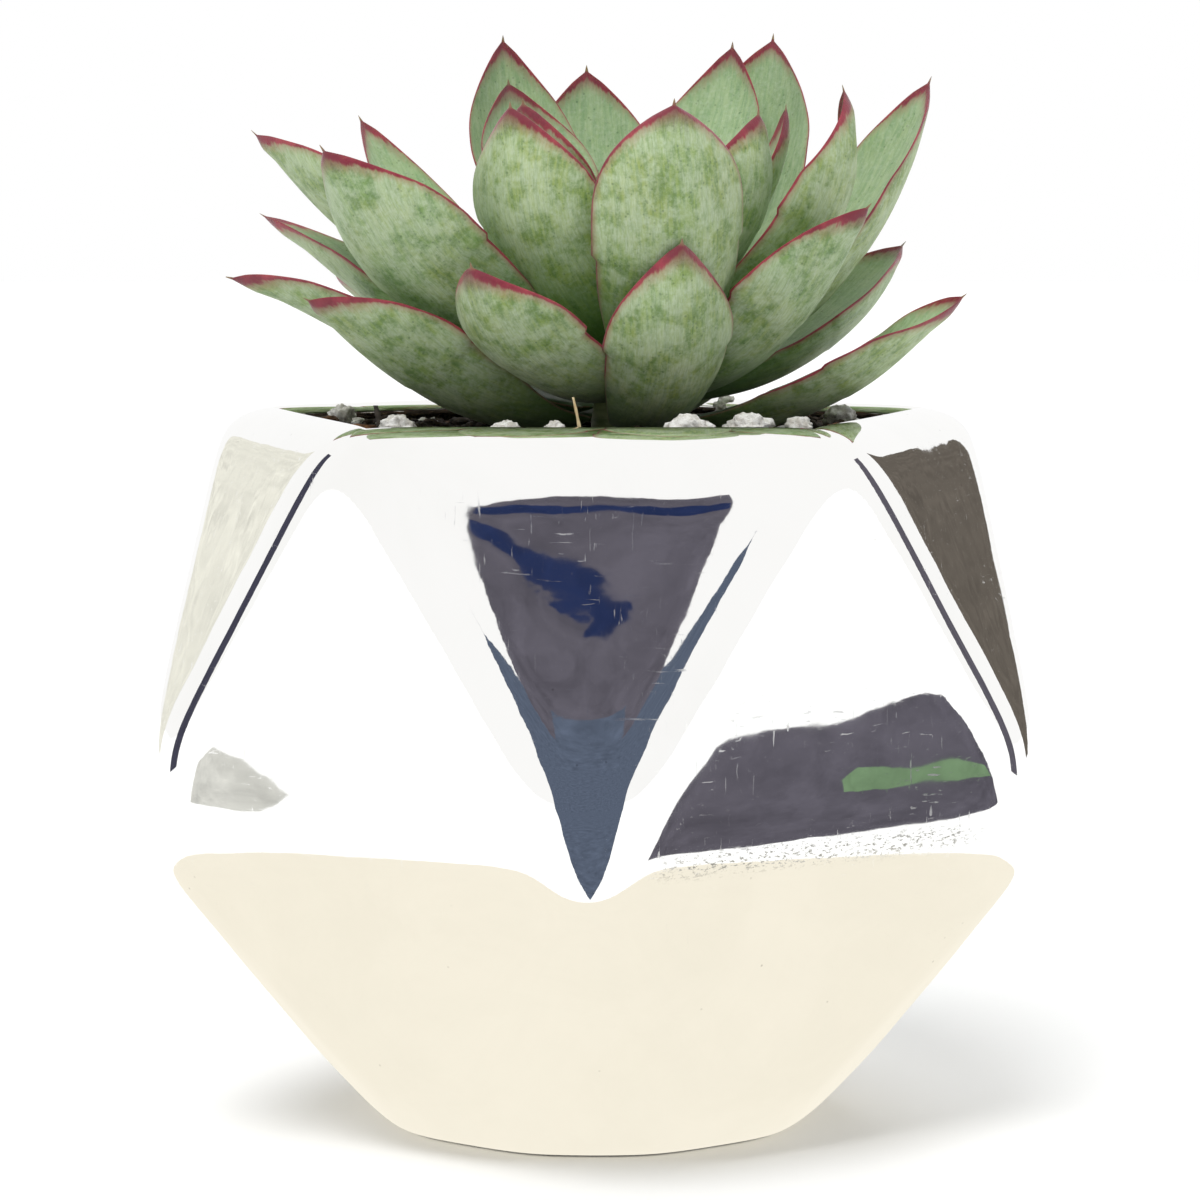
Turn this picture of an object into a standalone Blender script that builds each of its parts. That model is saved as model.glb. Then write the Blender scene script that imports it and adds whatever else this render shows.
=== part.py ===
"""A potted echeveria: a rosette of fleshy pointed leaves on a short stem, rooted in gritty
soil, in a pentagonal faceted ceramic pot. Dimensions are in millimetres and are scaled to the
scene's metres when a mesh is made. +Z is up, the front faces -Y, and the origin is the centre
of the pot's flat base."""

import math

import bmesh
import bpy
import numpy as np
from mathutils import Matrix, Vector, noise

MM = 0.001
GAP = 0.3                      # clearance between pieces that touch

# Pot: three rings of five corners, each turned half a step from the next, so that ten
# triangles stand between the rim and the belt and ten more between the belt and the base.
SIDES = 5
POT_TURN = -0.8                # degrees that the whole pot is turned
RIM_RADIUS, RIM_HEIGHT = 40.4, 72.0
BELT_RADIUS, BELT_HEIGHT = 48.0, 31.8
BASE_RADIUS = 26.0
CORNER_CUT = 2.0               # how far each belt corner is flattened
EDGE_ROUND = 2.0
WALL = 4.0
FLOOR = 5.0
OVER_RIM = 5.0                 # how far above the rim the shape that hollows it out reaches

# Soil and stem
SOIL_HEIGHT = 69.6
STEM_RADIUS = 3.4
STEM_TOP_RADIUS = 1.0
STEM_DEPTH = 8.0
STEM_RISE = 14.0
STEM_SIDES = 16
ROSETTE = (2.0, 0.0)           # where the stem stands in the soil

# Leaves: azimuth of the tip and of the foot (0 front, 90 right), height of the foot on the
# stem above the rim, reach and height of the tip, elevation at the foot and at the tip, width,
# fullness of the shoulders (2 pointed, 4 blunt), roll at the foot and at the tip
LEAVES = {
    "leaf_low_left": (-85, -82, 0.1, 38.9, 12.8, 3, 12, 11.5, 2.2, 0, 5),
    "leaf_low_front_left": (-62, -59, -1.0, 34.1, 11.4, -5, 28, 13.5, 2.6, 8, 15),
    "leaf_front_left_short": (-31, -11, 1.5, 27.5, 14.4, 2, 62, 12.6, 3.4, 0, -5),
    "leaf_front_short": (16, 24, -1.2, 23.0, 17.2, -5, 88, 12.4, 2.2, 0, 0),
    "leaf_low_front_right": (60, 56, 1.4, 28.6, 20.5, 4, 50, 13.5, 2.2, 0, -5),
    "leaf_low_right": (82, 82, -1.0, 35.3, 11.6, -8, 42, 12.0, 2.2, 0, 0),
    "leaf_low_back_right": (115, 110, 1.0, 33.3, 16.5, 4, 50, 14.0, 3.0, 0, 5),
    "leaf_left_pointed": (-108, -102, 1.7, 38.4, 19.4, 12, 30, 11.0, 2.0, 0, 0),
    "leaf_low_back_left": (-122, -132, 0.0, 35.0, 13.5, 2, 30, 12.0, 2.6, 0, 0),
    "leaf_left": (-98, -92, 5.1, 37.1, 27.8, 27, 45, 15.5, 3.0, 0, 12),
    "leaf_front_left": (-57, -56, 3.4, 33.4, 26.1, 15, 60, 16.5, 2.6, 20, 15),
    "leaf_back_left": (-130, -126, 3.2, 35.1, 29.6, 16, 58, 11.2, 1.9, 0, -5),
    "leaf_front_tall": (-30, -30, 5.4, 20.2, 30.2, 32, 90, 15.0, 2.4, 0, -5),
    "leaf_front_broad": (14, 28, 3.0, 23.0, 30.4, 12, 92, 14.6, 4.0, 0, 0),
    "leaf_right_curled": (78, 74, 4.8, 24.2, 32.2, 24, 95, 13.0, 2.2, 0, -10),
    "leaf_right_tall": (105, 101, 2.6, 34.0, 33.1, 12, 66, 14.0, 2.2, 0, 12),
    "leaf_back_left_tall": (-150, -150, 5.6, 23.2, 37.9, 50, 95, 12.5, 2.4, 0, 0),
    "leaf_back_left_inner": (-143, -143, 7.8, 18.2, 33.2, 58, 88, 13.0, 2.6, 0, 0),
    "leaf_back": (-174, -176, 5.0, 27.7, 35.0, 34, 88, 13.0, 3.0, 0, 0),
    "leaf_back_right_tall": (147, 142, 3.4, 31.0, 38.3, 26, 84, 15.5, 3.0, 0, 0),
    "leaf_back_right": (151, 158, 7.6, 25.7, 37.3, 50, 88, 12.0, 2.4, 0, 0),
    "leaf_right_inner": (58, 50, 6.6, 16.5, 29.6, 36, 98, 13.0, 2.4, 0, 0),
    "leaf_right_narrow": (100, 90, 7.4, 17.5, 30.4, 54, 92, 7.5, 2.0, 0, 0),
    "leaf_front_inner": (-33, -36, 8.4, 16.4, 30.5, 55, 92, 11.0, 2.6, 0, 0),
    "leaf_hidden_back": (-163, -163, -1.1, 30.0, 8.0, 0, 38, 9.5, 2.6, 0, 0),
    "leaf_hidden_back_right": (148, 146, -1.0, 27.0, 8.5, 0, 40, 10.0, 2.6, 0, 0),
    "leaf_hidden_back_mid": (-173, -173, 1.4, 29.0, 16.0, 10, 52, 12.0, 2.6, 0, 0),
}
HEART_LEAVES = 7               # the young leaves in the middle, each a golden angle on
HEART_TURN, HEART_STEP = 130.0, 137.5
HEART_FOOT, HEART_RISE = 9.0, 0.62
HEART_REACH, HEART_REACH_STEP = 9.8, 1.2
HEART_TOP, HEART_TOP_STEP = 25.5, 0.55
HEART_WIDTH, HEART_WIDTH_STEP = 8.4, 0.75
HEART_START, HEART_START_STEP = 52, 4
HEART_END = 92                 # elevations at the foot and at the tip, as in the table
HEART_FULLNESS = 2.2

# What all leaves share
LEAF_THICKNESS = 0.19          # of the width, at the foot
THINNING = 0.55                # share of that thickness lost by the tip
LEAST_THICKNESS = 0.35         # of the half width, for the narrow foot and tip
UPPER_SKIN, LOWER_SKIN = 0.45, 0.75    # share of the thickness above and below the middle
LEAF_EDGE = 1.15               # sharpness of the margins, 1 for an oval section
LEAF_FOOT = 4.0                # width where a leaf leaves the stem
STEM_GRIP = 3.2                # how far from the stem's axis a leaf starts
REACH_OF_HANDLES = 0.40        # of the chord, so that a leaf's curve is full
CUP = 0.42                     # how far the margins rise, of the half width
CUP_START = 0.35               # where along its length the cup is full
WIDEST = 0.58                  # where along its length a leaf is widest
SWELL = 0.85                   # how soon it widens from the foot, less than 1 for sooner
SPINE = 0.55                   # half width of the little point at the tip
SPINE_LENGTH = 0.08            # of the stretch beyond the widest place
BODY_END = 0.95                # where the body runs out into the point, of the same stretch
FOOT_LENGTH = 0.06             # how much of the length the rounded foot takes
LEAF_SIDES, LEAF_RINGS = 10, 12

# Loose pieces on the soil: kind, place across and in depth, size, turn about the upright
GRAINS = {
    "perlite_front": ("perlite", 9.0, -24.0, (4.6, 3.2, 2.8), 10),
    "perlite_front_right": ("perlite", 14.8, -18.0, (4.6, 3.4, 2.8), -20),
    "perlite_right": ("perlite", 20.0, -13.5, (2.8, 2.2, 2.2), 30),
    "perlite_front_left": ("perlite", -8.4, -22.0, (3.0, 2.6, 2.4), 50),
    "perlite_left": ("perlite", -19.0, -18.0, (3.2, 2.6, 2.6), 15),
    "perlite_by_straw": ("perlite", -3.8, -23.0, (2.4, 2.2, 2.2), 70),
    "perlite_right_back": ("perlite", 25.0, 8.0, (3.2, 2.6, 2.2), 0),
    "perlite_left_back": ("perlite", -26.0, 10.0, (3.0, 2.6, 2.2), 40),
    "perlite_back_left": ("perlite", -12.0, 27.0, (3.6, 2.8, 2.2), 25),
    "perlite_back_right": ("perlite", 14.0, 26.0, (3.0, 2.4, 2.2), -35),
    "bark_left": ("bark", -24.0, -13.0, (5.6, 1.8, 1.4), 20),
    "bark_front_left": ("bark", -13.5, -24.5, (3.8, 1.6, 1.2), -15),
    "bark_right": ("bark", 24.0, -11.0, (3.0, 1.6, 1.4), 35),
    "bark_right_back": ("bark", 18.0, 12.0, (4.2, 2.4, 2.8), -10),
    "bark_back": ("bark", 1.0, 29.5, (5.0, 1.8, 1.4), 5),
    "bark_left_back": ("bark", -27.0, 2.0, (4.0, 1.8, 1.4), 70),
}
GRAIN_ROUGHNESS = 0.34         # how far a grain's corners stray, of its size
GRAIN_LUMPS = 3                # how many lumps there are across a grain

# Stalks that stand in the loose pieces: place of the foot, length, thickness, lean, way it leans
STALKS = {
    "twig": ((-20.6, -15.0), 3.4, 0.8, 24, -60),
    "straw": ((-1.2, -25.6), 4.6, 0.4, 16, 40),
}


def direction(azimuth):
    """The horizontal unit vector at this azimuth."""
    angle = math.radians(azimuth)
    return np.array([math.sin(angle), -math.cos(angle), 0.0])


def sideways(azimuth):
    """The horizontal unit vector across this azimuth, towards a larger azimuth."""
    angle = math.radians(azimuth)
    return np.array([math.cos(angle), math.sin(angle), 0.0])


def leaf_width(along, width, fullness):
    """Half the leaf's width at a fraction of its length: a narrow foot, a broad shoulder and
    a small pointed end."""
    if along < WIDEST:
        swell = math.sin(math.pi / 2 * along / WIDEST) ** SWELL
        half = LEAF_FOOT / 2 + (width - LEAF_FOOT) / 2 * swell
    else:
        fall = (along - WIDEST) / (1 - WIDEST)
        body = 1 - min(1.0, fall / BODY_END) ** fullness
        half = width / 2 * body + SPINE * min(1.0, (1 - fall) / SPINE_LENGTH)
    return half * math.sqrt(max(0.0, 1 - (1 - min(along / FOOT_LENGTH, 1)) ** 2))


def leaf_frame(leaf, along):
    """The leaf's centre line at a fraction of its length: point, direction, side and face."""
    tip_turn, foot_turn, foot_height, reach, height, start, end = leaf[:7]
    foot_roll, tip_roll = leaf[9:]
    origin = np.array([ROSETTE[0], ROSETTE[1], RIM_HEIGHT])
    up = np.array([0.0, 0.0, 1.0])
    first = origin + STEM_GRIP * direction(foot_turn) + foot_height * up
    last = origin + reach * direction(tip_turn) + height * up
    handle = REACH_OF_HANDLES * np.linalg.norm(last - first)
    start, end = math.radians(start), math.radians(end)
    second = first + handle * (math.cos(start) * direction(foot_turn) + math.sin(start) * up)
    third = last - handle * (math.cos(end) * direction(tip_turn) + math.sin(end) * up)
    rest = 1 - along
    point = (
        rest**3 * first + 3 * rest**2 * along * second + 3 * rest * along**2 * third
        + along**3 * last
    )
    tangent = (
        (rest**2 + 1e-9) * (second - first) + 2 * rest * along * (third - second)
        + along**2 * (last - third)
    )
    tangent /= np.linalg.norm(tangent)
    side = sideways(foot_turn + (tip_turn - foot_turn) * along)
    side -= tangent * (side @ tangent)
    side /= np.linalg.norm(side)
    face = np.cross(tangent, side)
    roll = math.radians(foot_roll + (tip_roll - foot_roll) * along)
    side, face = (
        math.cos(roll) * side + math.sin(roll) * face,
        math.cos(roll) * face - math.sin(roll) * side,
    )
    return point, tangent, side, face


def leaf_point(leaf, along, around):
    """A point of the leaf's skin: along its length, and around it from one margin."""
    point, tangent, side, face = leaf_frame(leaf, along)
    width, fullness = leaf[7:9]
    half = leaf_width(along, width, fullness)
    across = math.cos(around)
    rise = math.sin(around)
    thick = LEAF_THICKNESS * width * (1 - THINNING * along) * half / (width / 2)
    thick = max(thick, LEAST_THICKNESS * min(half, LEAF_FOOT / 2))
    edge = CUP * half * across**2 * min(1.0, along / CUP_START)
    share = UPPER_SKIN if rise > 0 else LOWER_SKIN
    skin = thick * share * math.copysign(abs(rise) ** LEAF_EDGE, rise)
    return point + side * half * across + face * (edge + skin)


def heart_leaves():
    """The young leaves, closing in a spiral over the growing point."""
    leaves = {}
    for number in range(HEART_LEAVES):
        turn = HEART_TURN + number * HEART_STEP
        leaves[f"leaf_heart_{number + 1}"] = (
            turn, turn,
            HEART_FOOT + number * HEART_RISE,
            HEART_REACH - number * HEART_REACH_STEP,
            HEART_TOP - number * HEART_TOP_STEP,
            HEART_START + number * HEART_START_STEP, HEART_END,
            HEART_WIDTH - number * HEART_WIDTH_STEP,
            HEART_FULLNESS, 0, 0,
        )
    return leaves


def clear_scene():
    for old in list(bpy.data.objects):
        bpy.data.objects.remove(old, do_unlink=True)


def collection(name, hidden=False):
    made = bpy.data.collections.new(name)
    bpy.context.scene.collection.children.link(made)
    made.hide_render = hidden
    return made


def material(name, colour, roughness, metallic=0.0):
    made = bpy.data.materials.new(name)
    made.use_nodes = True
    shader = made.node_tree.nodes["Principled BSDF"]
    shader.inputs["Base Color"].default_value = (*colour, 1.0)
    shader.inputs["Roughness"].default_value = roughness
    shader.inputs["Metallic"].default_value = metallic
    return made


def add_object(name, bm, finish, home):
    """A smooth-shaded object made from a bmesh whose vertices are in millimetres."""
    bmesh.ops.scale(bm, vec=(MM, MM, MM), verts=bm.verts)
    bmesh.ops.recalc_face_normals(bm, faces=bm.faces)
    mesh = bpy.data.meshes.new(name)
    bm.to_mesh(mesh)
    bm.free()
    mesh.shade_smooth()
    mesh.set_sharp_from_angle(angle=math.radians(40))
    mesh.materials.append(finish)
    made = bpy.data.objects.new(name, mesh)
    home.objects.link(made)
    return made


def ring(radius, height, offset):
    """The corners of one of the pot's pentagons; offset is in steps of half a side."""
    corners = []
    for corner in range(SIDES):
        azimuth = POT_TURN + (corner + offset / 2) * 360 / SIDES
        corners.append(radius * direction(azimuth) + [0, 0, height])
    return corners


def hull(points):
    bm = bmesh.new()
    for point in points:
        bm.verts.new(point)
    found = bmesh.ops.convex_hull(bm, input=bm.verts)
    bmesh.ops.delete(bm, geom=found["geom_interior"], context="VERTS")
    bmesh.ops.dissolve_limit(
        bm, angle_limit=math.radians(0.5), verts=bm.verts, edges=bm.edges
    )
    return bm


def flatten_belt_corners(bm):
    """Slices the tip off each corner of the belt, so that a bevel leaves it well rounded."""
    for corner in ring(BELT_RADIUS - CORNER_CUT, BELT_HEIGHT, 0):
        outward = np.array([corner[0], corner[1], 0.0])
        everything = bm.verts[:] + bm.edges[:] + bm.faces[:]
        bmesh.ops.bisect_plane(
            bm, geom=everything, plane_co=corner, plane_no=outward, clear_outer=True
        )
        bmesh.ops.holes_fill(bm, edges=[e for e in bm.edges if e.is_boundary], sides=0)


def cavity_points(inset, floor, top):
    """The hollow inside the pot, this far in from its outside."""
    slant = inset / math.cos(math.pi / SIDES)
    return (
        ring(RIM_RADIUS - slant, top, 1)
        + ring(BELT_RADIUS - slant, BELT_HEIGHT, 0)
        + ring(BASE_RADIUS - inset / 2, floor, 1)
    )


def cut(target, cutter, name):
    modifier = target.modifiers.new(name, "BOOLEAN")
    modifier.operation = "DIFFERENCE"
    modifier.object = cutter
    cutter.display_type = "WIRE"
    cutter.hide_render = True


def add_bevel(target, width, segments):
    modifier = target.modifiers.new("rounded edges", "BEVEL")
    modifier.width = width * MM
    modifier.segments = segments
    modifier.limit_method = "ANGLE"
    modifier.angle_limit = math.radians(12)


def add_pot(home, cutters):
    outside = hull(
        ring(RIM_RADIUS, RIM_HEIGHT, 1)
        + ring(BELT_RADIUS, BELT_HEIGHT, 0)
        + ring(BASE_RADIUS, 0, 1)
    )
    flatten_belt_corners(outside)
    finish = material("mirror_plating", (0.93, 0.92, 0.90), 0.04, 1.0)
    pot = add_object("pot", outside, finish, home)
    add_bevel(pot, EDGE_ROUND, 3)
    inside = hull(cavity_points(WALL, FLOOR, RIM_HEIGHT + OVER_RIM))
    cut(pot, add_object("pot_hollow", inside, finish, cutters), "hollow")


def add_soil(home, cutters):
    brown = material("potting_mix", (0.045, 0.03, 0.02), 0.95)
    body = hull(cavity_points(WALL + GAP, FLOOR + GAP, RIM_HEIGHT + OVER_RIM))
    everything = body.verts[:] + body.edges[:] + body.faces[:]
    bmesh.ops.bisect_plane(
        body, geom=everything, plane_co=(0, 0, SOIL_HEIGHT), plane_no=(0, 0, 1), clear_outer=True
    )
    bmesh.ops.holes_fill(body, edges=[e for e in body.edges if e.is_boundary], sides=0)
    soil = add_object("soil", body, brown, home)
    radius = STEM_RADIUS + GAP
    hole = bmesh.new()
    bmesh.ops.create_cone(
        hole, cap_ends=True, segments=STEM_SIDES, radius1=radius, radius2=radius,
        depth=2 * (STEM_DEPTH + GAP),
        matrix=Matrix.Translation((*ROSETTE, SOIL_HEIGHT)),
    )
    cut(soil, add_object("stem_hole", hole, brown, cutters), "stem hole")


def add_stem(home):
    stem = bmesh.new()
    depth = STEM_DEPTH + STEM_RISE
    bmesh.ops.create_cone(
        stem, cap_ends=True, segments=STEM_SIDES,
        radius1=STEM_RADIUS, radius2=STEM_TOP_RADIUS, depth=depth,
        matrix=Matrix.Translation((*ROSETTE, SOIL_HEIGHT - STEM_DEPTH + depth / 2)),
    )
    add_object("stem", stem, material("green_stem", (0.24, 0.30, 0.14), 0.6), home)


def add_leaf(name, leaf, finish, home):
    """A sphere drawn out into a leaf, its poles at the foot and at the tip."""
    bm = bmesh.new()
    bmesh.ops.create_uvsphere(bm, u_segments=LEAF_SIDES, v_segments=LEAF_RINGS, radius=1)
    for vert in bm.verts:
        along = math.acos(max(-1.0, min(1.0, -vert.co.z))) / math.pi
        around = math.atan2(vert.co.y, vert.co.x)
        vert.co = leaf_point(leaf, along, around)
    add_object(name, bm, finish, home)


def add_grain(name, grain, finishes, home):
    """A rounded lump of perlite, or a flake of bark, lying on the soil."""
    kind, across, depth, size, turn = grain
    bm = bmesh.new()
    bmesh.ops.create_icosphere(bm, subdivisions=2, radius=0.5)
    place = Vector((across, depth, SOIL_HEIGHT + GAP))
    for vert in bm.verts:
        vert.co *= 1 + GRAIN_ROUGHNESS * noise.noise(vert.co * GRAIN_LUMPS + place)
    low = min(vert.co.z for vert in bm.verts)
    bmesh.ops.translate(bm, vec=(0, 0, -low), verts=bm.verts)
    bmesh.ops.scale(bm, vec=size, verts=bm.verts)
    bmesh.ops.rotate(bm, matrix=Matrix.Rotation(math.radians(turn), 3, "Z"), verts=bm.verts)
    bmesh.ops.translate(bm, vec=place, verts=bm.verts)
    add_object(name, bm, finishes[kind], home)


def add_stalk(name, stalk, finish, home):
    """A dry twig or straw, leaning, its foot just clear of the soil."""
    foot, length, thickness, lean, way = stalk
    bm = bmesh.new()
    bmesh.ops.create_cone(
        bm, cap_ends=True, segments=8, radius1=thickness / 2, radius2=thickness / 3,
        depth=length, matrix=Matrix.Translation((0, 0, length / 2)),
    )
    axis = Vector(sideways(way))
    bmesh.ops.rotate(bm, matrix=Matrix.Rotation(math.radians(lean), 3, axis), verts=bm.verts)
    clear = SOIL_HEIGHT + GAP - min(vert.co.z for vert in bm.verts)
    bmesh.ops.translate(bm, vec=(*foot, clear), verts=bm.verts)
    add_object(name, bm, finish, home)


def main():
    clear_scene()
    home = collection("potted_echeveria")
    cutters = collection("cutters", hidden=True)
    add_pot(home, cutters)
    add_soil(home, cutters)
    add_stem(home)
    green = material("powdery_leaf", (0.30, 0.42, 0.26), 0.55)
    for name, leaf in {**LEAVES, **heart_leaves()}.items():
        add_leaf(name, leaf, green, home)
    loose = {
        "perlite": material("perlite", (0.80, 0.79, 0.75), 0.9),
        "bark": material("bark", (0.13, 0.06, 0.03), 0.9),
    }
    for name, grain in GRAINS.items():
        add_grain(name, grain, loose, home)
    dry = material("dry_stalk", (0.42, 0.32, 0.18), 0.8)
    for name, stalk in STALKS.items():
        add_stalk(name, stalk, dry, home)


main()
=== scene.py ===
"""The looks of the potted echeveria: fleshy leaves with crimson margins and a powdery bloom,
gritty soil with perlite and bark, and a mirror-plated faceted pot. Sizes are in millimetres
and are scaled to metres when a mesh is made. +Z is up, the front faces -Y, and the origin is
the centre of the pot's flat base."""

import math

import bmesh
import bpy
import numpy as np
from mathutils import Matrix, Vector, noise


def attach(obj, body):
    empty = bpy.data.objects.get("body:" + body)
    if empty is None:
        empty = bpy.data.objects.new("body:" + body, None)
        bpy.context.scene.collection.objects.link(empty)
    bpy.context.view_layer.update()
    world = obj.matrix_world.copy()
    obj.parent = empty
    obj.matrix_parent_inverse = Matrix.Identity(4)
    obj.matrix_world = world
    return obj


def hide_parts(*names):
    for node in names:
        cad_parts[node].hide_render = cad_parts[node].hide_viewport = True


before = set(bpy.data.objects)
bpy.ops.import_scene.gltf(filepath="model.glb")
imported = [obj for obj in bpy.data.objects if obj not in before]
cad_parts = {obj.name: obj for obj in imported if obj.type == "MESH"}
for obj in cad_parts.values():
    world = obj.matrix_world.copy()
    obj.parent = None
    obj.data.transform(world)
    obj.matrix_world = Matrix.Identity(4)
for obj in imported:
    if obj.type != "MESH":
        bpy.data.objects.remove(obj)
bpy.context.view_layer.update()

MM = 0.001
ROOT = "root"
UP = np.array([0.0, 0.0, 1.0])

# The pot, as in the CAD
SIDES = 5
POT_TURN = -0.8
RIM_RADIUS, RIM_HEIGHT = 40.4, 72.0
BELT_RADIUS, BELT_HEIGHT = 48.0, 31.8
BASE_RADIUS = 26.0
CORNER_CUT = 3.0               # how far the belt's and the base's corners are rounded off
SWELL_OUT = 0.4                # how far the sides stand proud of flat facets
WALL = 4.0
POT_HEART = 35.0               # height of the point that the pot's outside is drawn around
POT_SHARPNESS = 50             # higher makes the edges between facets tighter
CORNER_SHARPNESS = 60
RIM_SLOPES = ((50, 0.5), (68, 0.25))    # planes round the rim: their lift and what they cut off
POT_COLUMNS, POT_ROWS = 400, 200
WAVES = ((0.055, 15.0), (0.018, 5.5), (0.004, 2.2))    # height and length of the surface's waves

# The plant and the soil, as in the CAD
SOIL_HEIGHT = 69.6
ROSETTE = (2.0, 0.0)
STEM_RADIUS, STEM_TOP_RADIUS = 3.4, 1.0
STEM_BOTTOM, STEM_TOP = 61.6, 83.6

# Leaves: azimuth of the tip and of the foot (0 front, 90 right), height of the foot on the
# stem above the rim, reach and height of the tip, elevation at the foot and at the tip, width,
# fullness of the shoulders (2 pointed, 4 blunt), roll at the foot and at the tip
LEAVES = {
    "leaf_low_left": (-85, -82, 0.1, 38.9, 12.8, 3, 12, 11.5, 2.2, 0, 5),
    "leaf_low_front_left": (-62, -59, -1.0, 34.1, 11.4, -5, 28, 13.5, 2.6, 8, 15),
    "leaf_front_left_short": (-31, -11, 1.5, 27.5, 14.4, 2, 62, 12.6, 3.4, 0, -5),
    "leaf_front_short": (16, 24, -1.2, 23.0, 17.2, -5, 88, 12.4, 2.2, 0, 0),
    "leaf_low_front_right": (60, 56, 1.4, 28.6, 20.5, 4, 50, 13.5, 2.2, 0, -5),
    "leaf_low_right": (82, 82, -1.0, 35.3, 11.6, -8, 42, 12.0, 2.2, 0, 0),
    "leaf_low_back_right": (115, 110, 1.0, 33.3, 16.5, 4, 50, 14.0, 3.0, 0, 5),
    "leaf_left_pointed": (-108, -102, 1.7, 38.4, 19.4, 12, 30, 11.0, 2.0, 0, 0),
    "leaf_low_back_left": (-122, -132, 0.0, 35.0, 13.5, 2, 30, 12.0, 2.6, 0, 0),
    "leaf_left": (-98, -92, 5.1, 37.1, 27.8, 27, 45, 15.5, 3.0, 0, 12),
    "leaf_front_left": (-57, -56, 3.4, 33.4, 26.1, 15, 60, 16.5, 2.6, 20, 15),
    "leaf_back_left": (-130, -126, 3.2, 35.1, 29.6, 16, 58, 11.2, 1.9, 0, -5),
    "leaf_front_tall": (-30, -30, 5.4, 20.2, 30.2, 32, 90, 15.0, 2.4, 0, -5),
    "leaf_front_broad": (14, 28, 3.0, 23.0, 30.4, 12, 92, 14.6, 4.0, 0, 0),
    "leaf_right_curled": (78, 74, 4.8, 24.2, 32.2, 24, 95, 13.0, 2.2, 0, -10),
    "leaf_right_tall": (105, 101, 2.6, 34.0, 33.1, 12, 66, 14.0, 2.2, 0, 12),
    "leaf_back_left_tall": (-150, -150, 5.6, 23.2, 37.9, 50, 95, 12.5, 2.4, 0, 0),
    "leaf_back_left_inner": (-143, -143, 7.8, 18.2, 33.2, 58, 88, 13.0, 2.6, 0, 0),
    "leaf_back": (-174, -176, 5.0, 27.7, 35.0, 34, 88, 13.0, 3.0, 0, 0),
    "leaf_back_right_tall": (147, 142, 3.4, 31.0, 38.3, 26, 84, 15.5, 3.0, 0, 0),
    "leaf_back_right": (151, 158, 7.6, 25.7, 37.3, 50, 88, 12.0, 2.4, 0, 0),
    "leaf_right_inner": (58, 50, 6.6, 16.5, 29.6, 36, 98, 13.0, 2.4, 0, 0),
    "leaf_right_narrow": (100, 90, 7.4, 17.5, 30.4, 54, 92, 7.5, 2.0, 0, 0),
    "leaf_front_inner": (-33, -36, 8.4, 16.4, 30.5, 55, 92, 11.0, 2.6, 0, 0),
    "leaf_hidden_back": (-163, -163, -1.1, 30.0, 8.0, 0, 38, 9.5, 2.6, 0, 0),
    "leaf_hidden_back_right": (148, 146, -1.0, 27.0, 8.5, 0, 40, 10.0, 2.6, 0, 0),
    "leaf_hidden_back_mid": (-173, -173, 1.4, 29.0, 16.0, 10, 52, 12.0, 2.6, 0, 0),
}
HEART_LEAVES = 7               # the young leaves in the middle, each a golden angle on
HEART_TURN, HEART_STEP = 130.0, 137.5
HEART_FOOT, HEART_RISE = 9.0, 0.62
HEART_REACH, HEART_REACH_STEP = 9.8, 1.2
HEART_TOP, HEART_TOP_STEP = 25.5, 0.55
HEART_WIDTH, HEART_WIDTH_STEP = 8.4, 0.75
HEART_START, HEART_START_STEP = 52, 4
HEART_END = 92
HEART_FULLNESS = 2.2

# What all leaves share
LEAF_THICKNESS = 0.19          # of the width, at the foot
THINNING = 0.55                # share of that thickness lost by the tip
LEAST_THICKNESS = 0.35         # of the half width, for the narrow foot and tip
UPPER_SKIN, LOWER_SKIN = 0.45, 0.75
LEAF_EDGE = 1.15               # sharpness of the margins, 1 for an oval section
LEAF_FOOT = 4.0
STEM_GRIP = 3.2
REACH_OF_HANDLES = 0.40
CUP, CUP_START = 0.42, 0.35
WIDEST, SWELL = 0.58, 0.85
SPINE, SPINE_LENGTH = 0.42, 0.10
BODY_END = 0.96
FOOT_LENGTH = 0.06
LEAF_SIDES, LEAF_RINGS = 44, 84
MARGIN_WAVE = 0.22             # how far the thin margins wave up and down
SKIN_WAVE = 0.10               # how far the broad faces are uneven

# How single leaves differ: extra bend of the tip (inwards, in millimetres), twist near the tip
# (degrees), and how much the last stretch leans sideways
TIPS = {
    "leaf_right_curled": (1.2, 35, 0.4),
    "leaf_low_right": (0.0, 30, 0.0),
    "leaf_front_left_short": (1.0, -15, -0.5),
    "leaf_front_left": (0.0, 0, -0.4),
    "leaf_low_left": (0.4, 12, 0.0),
    "leaf_right_tall": (0.5, 10, 0.3),
}

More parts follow.
